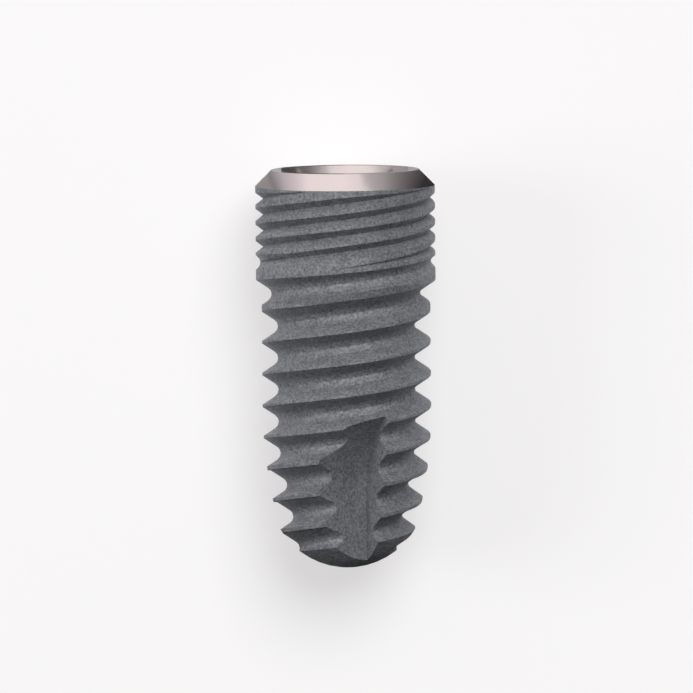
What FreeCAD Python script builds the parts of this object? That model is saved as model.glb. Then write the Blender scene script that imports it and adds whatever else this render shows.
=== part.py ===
import FreeCAD, Part
import math
import os

from FreeCAD import Vector

# A screw-shaped dental implant, turned and milled from one bar of titanium.
# Its top is a bevelled platform with an internal hexagon and a blind tapped hole.
# Under the bevel the collar has a fine thread of four starts. The body has a deep
# thread of two starts with the same lead, so both screw into the bone at one rate.
# The apex is a dome, with three cutting flutes milled upwards from it.
#
# The solid is built upright: the long axis is Z, the platform is at 0 and the apex
# is below it. A depth is measured down from the platform, a height up from the apex.
# At the end it is laid on its side, with the platform facing +Y. All sizes are in mm.

# Overall sizes
length = 10.0
collar_radius = 2.25

# Platform: the outer bevel, and the flat rim round the mouth
bevel_height = 0.40
bevel_width = 0.39
rim_width = 0.12

# Deep thread on the body
thread_pitch = 0.80
thread_starts = 2
crest_land = 0.06
flank_angle = 33.0
root_fillet = 0.20
groove_phase_depth = 3.12
run_in_depth = 1.92
run_in_slope = 0.34

# Fine thread on the collar. All its starts run in just below the bevel. Those that
# lie between the deep grooves run out first, and the others fade into them.
collar_starts = 4
collar_crest_land = 0.09
collar_flank_angle = 37.5
collar_run_in_depth = 0.42
collar_run_in_length = 0.28
run_out_depth = 1.92
run_out_length = 0.44
fade_length = 0.80

# Step from the collar down to the body
step_depth = 2.80
step_height = 0.45
step_width = 0.135

# Apex: a barrelled taper, a tapered thread root and a dome
taper_height = 4.02
taper_curve_radius = 11.3
dome_height = 0.97
root_taper_height = 3.10
root_taper_slope = 0.19

# Cutting flutes, each with one radial wall and one slanted floor
flute_count = 3
flute_wall_angle = -61.0
flute_floor_angle = -143.5
flute_corner_radius = 0.964
flute_height = 1.92
flute_curve_radius = 2.5
flute_curve_sweep = 70.0

# Abutment connection, from the mouth down
lead_in_angle = 45.0
hex_across_flats = 2.42
hex_depth = 1.90
relief_radius = 1.03
relief_length = 0.35
tap_drill_radius = 0.80
tapped_length = 2.70
drill_point_angle = 118.0

# How far a cutter stands clear of the metal where it enters and leaves
clearance = 0.02
overrun = 0.30

# The paths of the threads are drawn in half turns
spans_per_turn = 2
points_per_span = 6

# Places that follow from the sizes above
origin = Vector(0, 0, 0)
up = Vector(0, 0, 1)
lead = thread_pitch * thread_starts
crest_radius = collar_radius - step_width
platform_radius = collar_radius - bevel_width
mouth_radius = platform_radius - rim_width


def at(radius, depth):
    """The point in the XZ plane at a radius and a depth below the platform."""
    return Vector(radius, 0, -depth)


def polyline(points):
    """The straight edges that join the points, in order."""
    return [Part.makeLine(a, b) for a, b in zip(points, points[1:])]


def turned(edges):
    """The solid that a closed outline in the XZ plane sweeps about the long axis."""
    return Part.Face(Part.Wire(edges)).revolve(origin, up, 360)


def blank():
    """The turned blank that the threads, the flutes and the socket are cut into."""
    taper_rise = taper_height - dome_height
    taper_turn = math.asin(taper_rise / taper_curve_radius)
    dome_rim_radius = crest_radius - taper_curve_radius * (1 - math.cos(taper_turn))
    taper_mid = at(
        crest_radius - taper_curve_radius * (1 - math.cos(taper_turn / 2)),
        length - taper_height + taper_curve_radius * math.sin(taper_turn / 2),
    )
    dome_radius = (dome_rim_radius**2 + dome_height**2) / (2 * dome_height)
    dome_turn = math.asin(dome_rim_radius / dome_radius)
    dome_mid = at(
        dome_radius * math.sin(dome_turn / 2),
        length - dome_radius * (1 - math.cos(dome_turn / 2)),
    )
    apex = at(0, length)
    dome_rim = at(dome_rim_radius, length - dome_height)
    taper_start = at(crest_radius, length - taper_height)
    edges = [
        Part.Arc(apex, dome_mid, dome_rim).toShape(),
        Part.Arc(dome_rim, taper_mid, taper_start).toShape(),
    ]
    edges += polyline([
        taper_start,
        at(crest_radius, step_depth + step_height),
        at(collar_radius, step_depth),
        at(collar_radius, bevel_height),
        at(platform_radius, 0),
        at(0, 0),
        apex,
    ])
    return turned(edges)


def groove_depth(spacing, land, flank, fillet):
    """The depth of a groove, from the spacing of the grooves and the land between them."""
    slope = math.radians(flank)
    mouth_half = (spacing - land) / 2
    flank_half = mouth_half - fillet * math.cos(slope)
    return fillet * (1 - math.sin(slope)) + flank_half / math.tan(slope)


def groove_profile(root_radius, depth, flank, fillet):
    """The section of a groove: two flanks, with a rounded root or a sharp one."""
    slope = math.radians(flank)
    tangent_radius = root_radius + fillet * (1 - math.sin(slope))
    tangent_half = fillet * math.cos(slope)
    top_radius = root_radius + depth
    mouth_half = tangent_half + (top_radius - tangent_radius) * math.tan(slope)
    outside = top_radius + overrun
    upper_tangent = at(tangent_radius, -tangent_half)
    lower_tangent = at(tangent_radius, tangent_half)
    edges = polyline([
        upper_tangent,
        at(top_radius, -mouth_half),
        at(outside, -mouth_half),
        at(outside, mouth_half),
        at(top_radius, mouth_half),
        lower_tangent,
    ])
    if fillet > 0:
        root = at(root_radius, 0)
        half_arc = (math.pi / 2 - slope) / 2
        side = fillet * math.sin(half_arc)
        rise = fillet * (1 - math.cos(half_arc))
        edges.append(Part.Arc(lower_tangent, at(root_radius + rise, side), root).toShape())
        edges.append(Part.Arc(root, at(root_radius + rise, -side), upper_tangent).toShape())
    return Part.Wire(edges)


def groove_angle(depth):
    """The angle about the axis at which the first groove passes a depth, in degrees."""
    return -360.0 * (depth - groove_phase_depth) / lead


def groove_cutter(root_radius_at, first, last, start_angle, depth, flank, fillet):
    """The solid that cuts one start of a thread, between a first and a last depth.

    root_radius_at gives the radius of the root at each depth, so a groove can run
    in, run out and follow a taper. The path is one smooth curve, divided into half
    turns so that no face of the cutter winds right round the blank.
    """
    spans = math.ceil((last - first) / lead * spans_per_turn)
    steps = spans * points_per_span
    points = []
    for i in range(steps + 1):
        depth_here = first + (last - first) * i / steps
        point = at(root_radius_at(depth_here), depth_here)
        turn = FreeCAD.Rotation(up, groove_angle(depth_here) + start_angle)
        points.append(turn.multVec(point))
    path = Part.BSplineCurve()
    path.interpolate(points)
    ends = [path.parameter(point) for point in points[::points_per_span]]
    edges = [path.toShape(a, b) for a, b in zip(ends, ends[1:])]

    profile = groove_profile(root_radius_at(first), depth, flank, fillet)
    profile.translate(at(0, first))
    profile.rotate(origin, up, groove_angle(first) + start_angle)
    sweep = Part.BRepOffsetAPI.MakePipeShell(Part.Wire(edges))
    sweep.setBiNormalMode(up)
    sweep.add(profile)
    sweep.build()
    sweep.makeSolid()
    return sweep.shape()


def deep_thread_cutters():
    """One cutter for each start of the deep thread."""
    depth = groove_depth(thread_pitch, crest_land, flank_angle, root_fillet)
    root_radius = crest_radius - depth
    taper_depth = length - root_taper_height

    def root_radius_at(depth_here):
        run_in = collar_radius + clearance - run_in_slope * (depth_here - run_in_depth)
        taper = root_radius - root_taper_slope * max(0, depth_here - taper_depth)
        return max(run_in, taper)

    return [
        groove_cutter(
            root_radius_at,
            run_in_depth,
            length + overrun / 2,
            360.0 * i / thread_starts,
            depth + clearance / 4,
            flank_angle,
            root_fillet,
        )
        for i in range(thread_starts)
    ]


def collar_thread_cutters():
    """One cutter for each start of the fine thread."""
    spacing = lead / collar_starts
    depth = groove_depth(spacing, collar_crest_land, collar_flank_angle, 0)
    root_radius = collar_radius - depth
    clear = 1 + clearance / depth
    cutters = []
    for i in range(collar_starts):
        meets_deep_groove = i % (collar_starts // thread_starts) == 0
        last_length = fade_length if meets_deep_groove else run_out_length

        def root_radius_at(depth_here, last_length=last_length):
            run_in = 1 - (depth_here - collar_run_in_depth) / collar_run_in_length
            run_out = (depth_here - run_out_depth) / last_length
            return root_radius + depth * max(0, run_in, run_out)

        cutters.append(groove_cutter(
            root_radius_at,
            collar_run_in_depth + collar_run_in_length * (1 - clear),
            run_out_depth + last_length * clear,
            360.0 * i / collar_starts,
            depth + clearance / 4,
            collar_flank_angle,
            0,
        ))
    return cutters


def flute_cutters():
    """One cutter for each flute.

    Its outline lies in the flat wall of the flute: up from the apex beside the
    corner, then out through the thread on an arc. Drawn out sideways along the
    floor, it gives the flat floor and its curved end.
    """
    curve_depth = length - flute_height
    sweep = math.radians(flute_curve_sweep)

    def on_curve(turn):
        return at(
            flute_corner_radius + flute_curve_radius * (1 - math.cos(turn)),
            curve_depth - flute_curve_radius * math.sin(turn),
        )

    bottom = length + overrun
    curve_end = on_curve(sweep)
    edges = [Part.Arc(on_curve(0), on_curve(sweep / 2), curve_end).toShape()]
    edges += polyline([
        curve_end,
        at(curve_end.x, bottom),
        at(flute_corner_radius, bottom),
        on_curve(0),
    ])
    floor_turn = FreeCAD.Rotation(up, flute_floor_angle - flute_wall_angle)
    floor = floor_turn.multVec(Vector(2 * collar_radius, 0, 0))
    cutter = Part.Face(Part.Wire(edges)).extrude(floor)
    cutter.rotate(origin, up, flute_wall_angle)
    cutters = []
    for i in range(flute_count):
        copy = cutter.copy()
        copy.rotate(origin, up, 360.0 * i / flute_count)
        cutters.append(copy)
    return cutters


def socket_cutter():
    """The lead-in, the hexagon, the relief under it and the drilled hole for the tap."""
    flat_radius = hex_across_flats / 2
    lead_in_slope = math.tan(math.radians(lead_in_angle))
    lead_in_depth = (mouth_radius - flat_radius) / lead_in_slope
    relief_depth = hex_depth + relief_length
    tapped_top = relief_depth + relief_radius - tap_drill_radius
    tapped_bottom = tapped_top + tapped_length
    point_length = tap_drill_radius / math.tan(math.radians(drill_point_angle / 2))
    bore = turned(polyline([
        at(0, -overrun),
        at(mouth_radius + overrun * lead_in_slope, -overrun),
        at(flat_radius, lead_in_depth),
        at(relief_radius, lead_in_depth),
        at(relief_radius, relief_depth),
        at(tap_drill_radius, tapped_top),
        at(tap_drill_radius, tapped_bottom),
        at(0, tapped_bottom + point_length),
        at(0, -overrun),
    ]))
    corner = Vector(flat_radius / math.cos(math.radians(30)), 0, -hex_depth)
    corners = [FreeCAD.Rotation(up, 60 * i).multVec(corner) for i in range(7)]
    hexagon = Part.Face(Part.makePolygon(corners)).extrude(up * (hex_depth + overrun))
    return bore.fuse(hexagon)


def implant():
    """The finished implant, lying on its side with the platform facing +Y."""
    threaded = blank().cut(collar_thread_cutters() + deep_thread_cutters())
    body = threaded.cut(flute_cutters() + [socket_cutter()])
    body.rotate(origin, Vector(1, 0, 0), -90)
    return body


if __name__ == "__main__":
    os.makedirs("parts", exist_ok=True)
    body = implant()
    solids = body.Solids
    print("solids:", len(solids), "valid:", body.isValid(), "volume in mm3:", round(body.Volume, 3))
    solids[0].exportStep("parts/implant_body.step")
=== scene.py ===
# %% [markdown]
# A dental implant is a short titanium screw that a dentist turns into the jaw bone.
# A crown is fixed to it later. The real one is 10 mm long and 4.5 mm across, and it
# is one piece of metal with two finishes: blasted grey threads for the bone to grip,
# and a bright machined bevel and socket for the parts that join on later.
#
# The form comes ready from the CAD part, and this script gives it its looks: the
# thread inside its screw hole, a rim of the right width, two finishes, a table,
# lights and a camera. Lengths are in metres, so a small helper unit keeps the
# numbers readable.

# %% Load the CAD part
import math

import bmesh
import bpy
from mathutils import Matrix, Vector


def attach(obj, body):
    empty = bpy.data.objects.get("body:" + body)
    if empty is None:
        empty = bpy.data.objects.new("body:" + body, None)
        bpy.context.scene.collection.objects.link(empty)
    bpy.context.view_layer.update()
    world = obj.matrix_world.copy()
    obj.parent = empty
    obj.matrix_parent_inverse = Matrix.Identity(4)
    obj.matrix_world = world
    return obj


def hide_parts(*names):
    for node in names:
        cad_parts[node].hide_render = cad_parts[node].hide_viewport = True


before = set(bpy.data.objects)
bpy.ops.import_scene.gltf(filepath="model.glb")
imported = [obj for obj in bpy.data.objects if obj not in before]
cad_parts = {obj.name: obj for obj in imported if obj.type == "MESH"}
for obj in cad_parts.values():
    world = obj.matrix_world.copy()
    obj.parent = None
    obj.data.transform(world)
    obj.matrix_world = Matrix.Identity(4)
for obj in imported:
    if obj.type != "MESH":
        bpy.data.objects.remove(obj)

MM = 0.001

scene = bpy.context.scene
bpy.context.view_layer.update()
cad_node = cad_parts["implant_body"]
print("CAD mesh:", len(cad_node.data.polygons), "faces")


# %% [markdown]
# Each cell below that makes a finish or a piece uses two small helpers. Colours on a
# screen are written as sRGB codes, while the renderer adds up light in linear values,
# so one function turns the first into the second. The other adds a node to a
# material, sets it up, and links whatever is given to its inputs.

# %% Helpers for colours and nodes
def linear(code):
    """An sRGB code such as #D8D0D0 as linear red, green, blue and alpha."""
    parts = [int(code[i:i + 2], 16) / 255 for i in (1, 3, 5)]
    return [p / 12.92 if p <= 0.04045 else ((p + 0.055) / 1.055) ** 2.4 for p in parts] + [1.0]


def add_node(tree, kind, settings=(), inputs=()):
    """Adds a node. Settings are attributes. Inputs are values, or sockets to link from."""
    node = tree.nodes.new(kind)
    for name, value in dict(settings).items():
        setattr(node, name, value)
    for name, value in dict(inputs).items():
        if isinstance(value, bpy.types.NodeSocket):
            tree.links.new(value, node.inputs[name])
        else:
            node.inputs[name].default_value = value
    return node


def new_material(name):
    """An empty material with an output, and its node tree."""
    material = bpy.data.materials.new(name)
    material.use_nodes = True
    tree = material.node_tree
    tree.nodes.clear()
    return material, tree


def set_ramp(stops, tones):
    """Sets the colours of a colour ramp, from pairs of position and sRGB code."""
    stops[0].position = tones[0][0]
    stops[0].color = linear(tones[0][1])
    stops[1].position = tones[-1][0]
    stops[1].color = linear(tones[-1][1])
    for position, code in tones[1:-1]:
        stops.new(position).color = linear(code)


# %% [markdown]
# The threads of the real implant are blasted with grit and etched with acid. That
# leaves pits a few hundredths of a millimetre across, which scatter light, so the
# metal looks like dark grey felt with fine light and dark specks. A very rough metal
# gives the felt, a fine noise gives the specks in the colour, and the same noise as
# a bump turns each speck a little to or from the light. A broader noise shifts their
# tone, so that the grey isn't the same all over. True pits are too fine to see from
# here, so the fine noise is about twice their size.

# %% Blasted titanium
SPECK = 0.065 * MM
MOTTLE = 0.35 * MM
# How far the mottle moves the tone of the specks, from its darkest to its lightest
MOTTLE_SHARE = 0.35


def blasted_titanium():
    material, tree = new_material("blasted titanium")
    place = add_node(tree, "ShaderNodeTexCoord").outputs["Object"]
    speck = add_node(tree, "ShaderNodeTexNoise", inputs={
        "Vector": place, "Scale": 1 / SPECK, "Detail": 1.0, "Roughness": 0.6,
    }).outputs["Fac"]
    mottle = add_node(tree, "ShaderNodeTexNoise", inputs={
        "Vector": place, "Scale": 1 / MOTTLE, "Detail": 2.0,
    }).outputs["Fac"]
    spread = add_node(tree, "ShaderNodeMath", {"operation": "MULTIPLY_ADD"}, {
        0: mottle, 1: MOTTLE_SHARE, 2: -MOTTLE_SHARE / 2,
    }).outputs[0]
    tone = add_node(tree, "ShaderNodeMath", {"operation": "ADD"}, {0: speck, 1: spread})
    colour = add_node(tree, "ShaderNodeValToRGB", inputs={"Fac": tone.outputs[0]})
    set_ramp(colour.color_ramp.elements, [(0.25, "#727478"), (0.75, "#A2A4A8")])
    bump = add_node(tree, "ShaderNodeBump", inputs={
        "Height": speck, "Strength": 0.5, "Distance": 0.02 * MM,
    })
    shader = add_node(tree, "ShaderNodeBsdfPrincipled", inputs={
        "Base Color": colour.outputs["Color"],
        "Metallic": 1.0,
        "Roughness": 0.8,
        "Normal": bump.outputs["Normal"],
    })
    add_node(tree, "ShaderNodeOutputMaterial", inputs={"Surface": shader.outputs[0]})
    return material


# %% [markdown]
# The bevel at the top, the flat rim and the socket stay as the lathe and the mill
# left them, so that the next part seats well. Fine turning marks run round the axis.
# They are under a hundredth of a millimetre apart, too fine to see from here, so the
# bands are five times coarser and very faint. What the eye gets from this metal is
# the room: it mirrors the bright side and the dark side of the studio, a bit blurred.

# %% Machined titanium
TURNING_MARK = 0.05 * MM
# At a scale of 1, the wave texture goes through 20 radians in a unit of length
WAVE_RADIANS = 20


def machined_titanium():
    material, tree = new_material("machined titanium")
    place = add_node(tree, "ShaderNodeTexCoord").outputs["Object"]
    marks = add_node(tree, "ShaderNodeTexWave", {
        "wave_type": "BANDS", "bands_direction": "Y",
    }, {
        "Vector": place, "Scale": math.tau / (WAVE_RADIANS * TURNING_MARK),
        "Distortion": 1.5, "Detail": 2.0,
    })
    bump = add_node(tree, "ShaderNodeBump", inputs={
        "Height": marks.outputs["Fac"], "Strength": 0.04, "Distance": 0.002 * MM,
    })
    shader = add_node(tree, "ShaderNodeBsdfPrincipled", inputs={
        "Base Color": linear("#EAE0DF"),
        "Metallic": 1.0,
        "Roughness": 0.16,
        "Normal": bump.outputs["Normal"],
    })
    add_node(tree, "ShaderNodeOutputMaterial", inputs={"Surface": shader.outputs[0]})
    return material


# %% [markdown]
# The CAD part has a plain hole, 1.6 mm across, where the real one is tapped M2 for
# the screw of the abutment. To cut that thread, this cell copies the CAD mesh, takes
# out the wall of the hole, and grows a threaded wall from the same rings of points,
# so that the skin stays closed. The CAD mesh itself is left alone.
#
# The copy must keep the smooth shading that CAD gave it. Blender stores that as one
# normal for each corner of each face, and editing would spoil it. So each corner
# first writes its normal down in an attribute, which then survives the editing.

# %% Copy the CAD mesh without the wall of the tapped hole
TAP_DRILL_RADIUS = 0.8 * MM
SAME_PLACE = 1e-7
ON_SURFACE = 0.001 * MM
SQUARE_TO_AXIS = 0.01

body = bpy.data.objects.new("implant", cad_node.data.copy())
scene.collection.objects.link(body)
body.data.materials.clear()
kept_normals = body.data.attributes.new("kept_normal", "FLOAT_VECTOR", "CORNER")
for corner, kept in zip(body.data.corner_normals, kept_normals.data):
    kept.vector = corner.vector

shape = bmesh.new()
shape.from_mesh(body.data)
bmesh.ops.remove_doubles(shape, verts=shape.verts, dist=SAME_PLACE)


def from_axis(point):
    """How far a point is from the long axis, which is Y."""
    return math.hypot(point.x, point.z)


wall = [
    face for face in shape.faces
    if all(abs(from_axis(v.co) - TAP_DRILL_RADIUS) < ON_SURFACE for v in face.verts)
    and abs(face.normal.y) < SQUARE_TO_AXIS
]
wall_points = {v for face in wall for v in face.verts}
top = max(v.co.y for v in wall_points)
bottom = min(v.co.y for v in wall_points)
top_ring = sorted(
    (v for v in wall_points if abs(v.co.y - top) < SAME_PLACE),
    key=lambda v: math.atan2(v.co.x, v.co.z),
    reverse=True,
)
bmesh.ops.delete(shape, geom=wall, context="FACES")
print("hole wall:", len(wall), "faces,", len(top_ring), "points round")

# %% [markdown]
# The socket opens in a lead-in, a cone of 45 degrees, and a flat rim runs round its
# mouth. On the real implant that rim is about twice as wide as on the CAD part. A cone
# that slides along its own axis stays the same cone, with the same normals. So the
# points on it slide up, and the ring at the mouth, which must stay level with the
# platform, closes in by the same amount.

# %% Widen the flat rim
MOUTH_RADIUS = 1.74 * MM
WIDER_BY = 0.14 * MM

# At 45 degrees, the cone is as far in from the edge of the mouth as it is deep
lead_in = [v for v in shape.verts if abs(from_axis(v.co) - v.co.y - MOUTH_RADIUS) < ON_SURFACE]
narrower = 1 - WIDER_BY / MOUTH_RADIUS
for point in lead_in:
    if point.co.y > -SAME_PLACE:
        point.co.x *= narrower
        point.co.z *= narrower
    else:
        point.co.y += WIDER_BY
print("points moved on the lead-in:", len(lead_in))

# %% [markdown]
# A thread is one outline wound round an axis. Each point round the ring gets a
# column of points down the hole, and the outline slides down by one pitch in a full
# turn. The ring runs clockwise as seen from the platform, which makes the thread
# right-handed. The last column joins the first with a shift of one turn. Points that
# would lie beyond an end of the hole are put on its ring, and the merge afterwards
# removes the empty faces that this makes.

# %% Wind the M2 thread
M2_PITCH = 0.4 * MM
M2_RADIUS = 1.0 * MM
RUN_IN = 0.4 * MM
# One turn as (share of the pitch, share of the depth): down one flank, a flat root, up the other
OUTLINE = [(0.125, 0.0), (0.42, 1.0), (0.58, 1.0), (0.875, 0.0)]
# Two turns start above the hole and one ends below it, so that each column covers it
TURNS_ABOVE = 2
TURNS_BELOW = 1

turns_inside = math.ceil((top - bottom) / M2_PITCH)
turns = TURNS_ABOVE + turns_inside + TURNS_BELOW
columns = []
for number, ring_point in enumerate(top_ring):
    angle = math.atan2(ring_point.co.x, ring_point.co.z)
    share_of_turn = number / len(top_ring)
    column = []
    for turn in range(turns):
        for along, deep in OUTLINE:
            y = top - (turn - TURNS_ABOVE + along + share_of_turn) * M2_PITCH
            y = min(max(y, bottom), top)
            from_end = min(top - y, y - bottom)
            deep = deep * min(1.0, from_end / RUN_IN)
            radius = TAP_DRILL_RADIUS + (M2_RADIUS - TAP_DRILL_RADIUS) * deep
            column.append(shape.verts.new((radius * math.sin(angle), y, radius * math.cos(angle))))
    columns.append(column)

for number, column in enumerate(columns):
    last = number == len(columns) - 1
    following = columns[0] if last else columns[number + 1]
    shift = len(OUTLINE) if last else 0
    for row in range(len(column) - 1 - shift):
        shape.faces.new((
            column[row], column[row + 1], following[row + 1 + shift], following[row + shift],
        ))
bmesh.ops.dissolve_degenerate(shape, edges=shape.edges, dist=SAME_PLACE)
bmesh.ops.remove_doubles(shape, verts=shape.verts, dist=SAME_PLACE)
open_edges = sum(1 for edge in shape.edges if len(edge.link_faces) != 2)
turned_edges = sum(1 for edge in shape.edges if not edge.is_contiguous)
print("thread turns:", turns_inside, "open edges:", open_edges, "turned edges:", turned_edges)

# %% [markdown]
# Now each face gets its finish. Machined faces are those above the lower edge of
# the bevel and those inside the socket. Everything else is blasted. The kept normals
# then go back to their corners. The faces of the new thread have none, so each gets
# its own flat one.

# %% Give each face its finish and bring back the normals
BEVEL_HEIGHT = 0.4 * MM
SOCKET_RADIUS = 1.6 * MM
SOCKET_DEPTH = 6.3 * MM

BLASTED, MACHINED = 0, 1
for face in shape.faces:
    centre = face.calc_center_median()
    above_bevel_edge = -centre.y < BEVEL_HEIGHT
    in_socket = from_axis(centre) < SOCKET_RADIUS and -centre.y < SOCKET_DEPTH
    face.material_index = MACHINED if above_bevel_edge or in_socket else BLASTED
    face.smooth = True

shape.to_mesh(body.data)
shape.free()
kept_normals = body.data.attributes["kept_normal"]
normals = [kept.vector.copy() for kept in kept_normals.data]
for polygon in body.data.polygons:
    for corner in polygon.loop_indices:
        has_kept_normal = normals[corner].length > 0.5
        if not has_kept_normal:
            normals[corner] = polygon.normal.copy()
body.data.normals_split_custom_set(normals)
body.data.attributes.remove(body.data.attributes["kept_normal"])
body.data.materials.append(blasted_titanium())
body.data.materials.append(machined_titanium())
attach(body, "root")
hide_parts("implant_body")
print("visible mesh:", len(body.data.polygons), "faces")

# %% [markdown]
# The implant lies on a pale table, as a real one would when it is put down, and the
# camera looks straight down on it. The table is matt white paper on a light box, as
# photographers of small shiny things use: part of its white is its own glow, so the
# shadow of the implant stays soft and pale. The camera and the metal see that glow,
# and the rest of the scene gets its light from the lamps alone.

# %% Table
# The collar, 4.5 mm across, touches the table
TABLE_Z = -2.25 * MM
TABLE_SIZE = 2.0
GLOW_SHARE = 0.6

bpy.ops.mesh.primitive_plane_add(size=TABLE_SIZE, location=(0, 0, TABLE_Z))
table = bpy.context.object
table.name = "table"

material, tree = new_material("matt white paper")
paper = add_node(tree, "ShaderNodeBsdfDiffuse", inputs={"Color": linear("#E8E8E8")})
glow = add_node(tree, "ShaderNodeEmission", inputs={"Color": linear("#FCFAFA")})
rays = add_node(tree, "ShaderNodeLightPath").outputs
seen = rays["Is Camera Ray"]
for kind in ("Is Glossy Ray", "Is Transmission Ray"):
    seen = add_node(tree, "ShaderNodeMath", {"operation": "MAXIMUM"}, {0: seen, 1: rays[kind]}).outputs[0]
share = add_node(tree, "ShaderNodeMath", {"operation": "MULTIPLY"}, {0: seen, 1: GLOW_SHARE})
surface = add_node(tree, "ShaderNodeMixShader", inputs={
    0: share.outputs[0], 1: paper.outputs[0], 2: glow.outputs[0],
})
add_node(tree, "ShaderNodeOutputMaterial", inputs={"Surface": surface.outputs[0]})
table.data.materials.append(material)

# %% [markdown]
# Polished metal shows nothing of its own: it shows its room, and in a white room it
# looks flat. So a photographer puts small cards beside it, and their mirror images
# shade its rounded ends. Here the cards are painted reflections: each fades along Y,
# in the tones that the metal should show, and glows in those tones itself, though it
# is no lamp, so that no lamp changes them. The metal sees the cards, and the camera
# does not, as if they had been painted out of the picture. They cast no shadow either.

# %% A glowing card that only the metal sees, for painted reflections
def card(name, x, y, z, tones):
    """A flat card between two places in X, Y and Z, in mm. Tones are shares of its length."""
    stands = x[0] == x[1]
    near, far = (z[0], z[1]) if stands else (x[0], x[1])
    corners = []
    for along, across in ((y[0], near), (y[0], far), (y[1], far), (y[1], near)):
        corner = (x[0], along, across) if stands else (across, along, z[0])
        corners.append(Vector(corner) * MM)
    mesh = bpy.data.meshes.new(name)
    mesh.from_pydata(corners, [], [(0, 1, 2, 3)])
    sheet = bpy.data.objects.new(name, mesh)
    scene.collection.objects.link(sheet)
    sheet.visible_camera = False
    sheet.visible_shadow = False
    sheet.visible_diffuse = False

    material, tree = new_material(name)
    place = add_node(tree, "ShaderNodeTexCoord").outputs["Object"]
    place_y = add_node(tree, "ShaderNodeSeparateXYZ", inputs={0: place}).outputs["Y"]
    share = add_node(tree, "ShaderNodeMapRange", inputs={
        "Value": place_y, "From Min": y[0] * MM, "From Max": y[1] * MM,
    })
    shade = add_node(tree, "ShaderNodeValToRGB", inputs={"Fac": share.outputs[0]})
    set_ramp(shade.color_ramp.elements, tones)
    # The card glows in its tones: a painted reflection for the metal, not a lamp
    glow = add_node(tree, "ShaderNodeEmission", inputs={"Color": shade.outputs["Color"]})
    add_node(tree, "ShaderNodeOutputMaterial", inputs={"Surface": glow.outputs[0]})
    mesh.materials.append(material)


# %% [markdown]
# Two cards stand right and left of the bevel. A bevel of 45 degrees mirrors what lies
# beyond the platform, so the tones near the start of a card show at the ends of the
# bevel, and those far along it show towards the middle. Their tones are painted
# reflections. The right card starts almost black, which paints the dark right end of
# the bevel. The left one starts grey, and gets a little darker before it gets light,
# which the bevel shows as a painted soft shade near its left edge.

# %% Cards beside the bevel, for painted reflections
BESIDE = 2.27
FLOOR = -2.24
ABOVE = 2.3

# Painted reflection: dark at the right end of the bevel, light towards its middle
card("card at the right", (BESIDE, BESIDE), (-0.4, 9), (FLOOR, ABOVE), [
    (0.04, "#343436"), (0.14, "#767476"), (0.3, "#AAA8AA"), (1.0, "#D8D6D8"),
])
# Painted reflection: grey at the left end of the bevel, a soft painted shade, then light
card("card at the left", (-BESIDE, -BESIDE), (-0.4, 9), (FLOOR, ABOVE), [
    (0.05, "#989698"), (0.065, "#888688"), (0.12, "#C4C0C4"), (0.3, "#FAF4F4"),
])

# %% [markdown]
# The inner wall of the mouth mirrors the table just in front of it. Its left part
# looks to the right and down, and its right part to the left and down, and both lines
# of sight cross above the middle. Four glowing strips on the table, which only the
# metal sees, paint reflections that follow that: one dark and one grey close to the
# mouth, and beyond the crossing one dark and one light. Two small ones paint grey
# reflections at the ends of the flat rim, and a wide dark one beyond the apex paints
# the dark reflection that keeps the underside of the dome dark.

# %% Glowing strips on the table, for painted reflections
ON_TABLE = (FLOOR, FLOOR)
CROSSING = 1.5

# Painted reflections in the inner wall of the mouth
card("left strip", (-1.6, 0), (0.02, CROSSING), ON_TABLE, [
    (0.0, "#424244"), (1.0, "#505052"),
])
card("right strip", (0, 1.6), (0.02, CROSSING), ON_TABLE, [
    (0.0, "#8C8A8C"), (1.0, "#B4B2B4"),
])
card("far right strip", (0, 4), (CROSSING, 18), ON_TABLE, [
    (0.0, "#626062"), (0.15, "#929092"), (1.0, "#C4C2C4"),
])
card("far left strip", (-3, 0), (CROSSING, 9), ON_TABLE, [
    (0.0, "#B8B6B8"), (0.5, "#F6F0F0"),
])
# Painted grey reflections at the two ends of the flat rim
card("painted reflection at the left end of the rim", (-2.26, -1.6), (0.02, 0.6), ON_TABLE, [(0.0, "#AEACAE"), (1.0, "#AEACAE")])
card("painted reflection at the right end of the rim", (1.6, 2.26), (0.02, 0.6), ON_TABLE, [(0.0, "#A6A4A6"), (1.0, "#A6A4A6")])
# Painted dark reflection on the underside of the dome
card("strip beyond the apex", (-60, 60), (-120, -10.1), ON_TABLE, [(0.0, "#343436"), (1.0, "#2C2C2E")])

# %% [markdown]
# The world is the rest of the room. A soft white wall stands beyond the platform, a
# little to the left, and the brightness fades with the angle from it. A dot product
# measures that angle: 1 towards the middle of the wall, 0 square to it. Low down, a
# pale backdrop runs all round, so that a view from the side has a pale background.

# %% Studio
WALL_TOWARDS = Vector((-0.34, 0.94, 0.0)).normalized()
WALL_FADE = [
    (0.0, "#1E1E20"), (0.39, "#504E50"), (0.545, "#A09A9A"), (0.766, "#BEB6B6"), (0.93, "#FFF8F8"),
]
BACKDROP_TOP = 0.04
BACKDROP_FADED = 0.12

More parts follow.
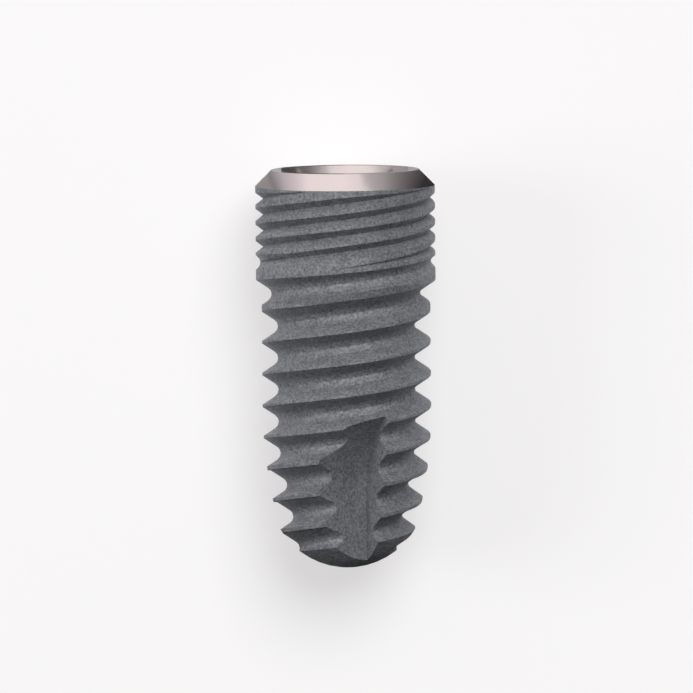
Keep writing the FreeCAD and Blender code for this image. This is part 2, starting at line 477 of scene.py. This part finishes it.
world = bpy.data.worlds.new("studio")
scene.world = world
world.use_nodes = True
studio = world.node_tree
studio.nodes.clear()
direction = add_node(studio, "ShaderNodeTexCoord").outputs["Generated"]
towards_wall = add_node(studio, "ShaderNodeVectorMath", {"operation": "DOT_PRODUCT"}, {
    0: direction, 1: WALL_TOWARDS,
})
wall = add_node(studio, "ShaderNodeValToRGB", inputs={"Fac": towards_wall.outputs["Value"]})
set_ramp(wall.color_ramp.elements, WALL_FADE)
height = add_node(studio, "ShaderNodeSeparateXYZ", inputs={0: direction}).outputs["Z"]
above_backdrop = add_node(studio, "ShaderNodeMapRange", {"interpolation_type": "SMOOTHSTEP"}, {
    "Value": height, "From Min": BACKDROP_TOP, "From Max": BACKDROP_FADED,
})
room = add_node(studio, "ShaderNodeMix", {"data_type": "RGBA"}, {
    0: above_backdrop.outputs[0], 6: linear("#FAF6F6"), 7: wall.outputs["Color"],
})
backdrop = add_node(studio, "ShaderNodeBackground", inputs={"Color": room.outputs[2]})
add_node(studio, "ShaderNodeOutputWorld", inputs={"Surface": backdrop.outputs[0]})

# %% [markdown]
# A large soft key light hangs over the implant, close to the camera and tipped to the
# platform end. Each side of a thread that faces up then is light, and each side that
# faces down is dark. Close to the camera, it hides most of the shadow behind the
# implant. A weaker fill light at the left reaches into the cutting flute, where one
# wall faces away from the key light.

# %% Lights
BODY_MIDDLE = Vector((0, -5, 0)) * MM


def soft_light(name, place, size, power):
    """A round white light, with its place and size in mm and its power in watts."""
    lamp = bpy.data.lights.new(name, "AREA")
    lamp.shape = "DISK"
    lamp.size = size * MM
    lamp.energy = power
    light = bpy.data.objects.new(name, lamp)
    light.location = Vector(place) * MM
    light.rotation_euler = (BODY_MIDDLE - light.location).to_track_quat("-Z", "Y").to_euler()
    scene.collection.objects.link(light)


soft_light("key light", (60, 155, 280), 210, 1.09)
soft_light("fill light", (-225, 10, 140), 120, 0.28)

# %% [markdown]
# The photograph is taken from far away with a long lens: the two edges of the
# implant stay parallel. It looks down on the platform by a few degrees, so that the
# mouth of the socket shows as a thin ellipse, and leans by less than a degree.

# %% Camera
PIXELS = 693
PIXELS_PER_MM = 39.95
ELEVATION = math.radians(4.5)
LEAN = math.radians(0.5)
PLATFORM_PIXEL = Vector((344.8, 169.4))
DISTANCE = 300 * MM
SENSOR = 36.0

towards_camera = Vector((0, math.sin(ELEVATION), math.cos(ELEVATION)))
level_right = Vector((1, 0, 0))
level_up = Vector((0, math.cos(ELEVATION), -math.sin(ELEVATION)))
right = level_right * math.cos(LEAN) - level_up * math.sin(LEAN)
up = level_right * math.sin(LEAN) + level_up * math.cos(LEAN)
to_centre = (Vector((PIXELS, PIXELS)) / 2 - PLATFORM_PIXEL) / PIXELS_PER_MM * MM
place = right * to_centre.x - up * to_centre.y + towards_camera * DISTANCE

camera_data = bpy.data.cameras.new("camera")
camera = bpy.data.objects.new("camera", camera_data)
scene.collection.objects.link(camera)
camera.matrix_world = Matrix((
    (right.x, up.x, towards_camera.x, place.x),
    (right.y, up.y, towards_camera.y, place.y),
    (right.z, up.z, towards_camera.z, place.z),
    (0, 0, 0, 1),
))
camera_data.sensor_width = SENSOR
camera_data.lens = SENSOR * DISTANCE / (PIXELS / PIXELS_PER_MM * MM)
camera_data.clip_start = 10 * MM
camera_data.clip_end = 10.0
scene.camera = camera
scene.view_settings.view_transform = "Standard"
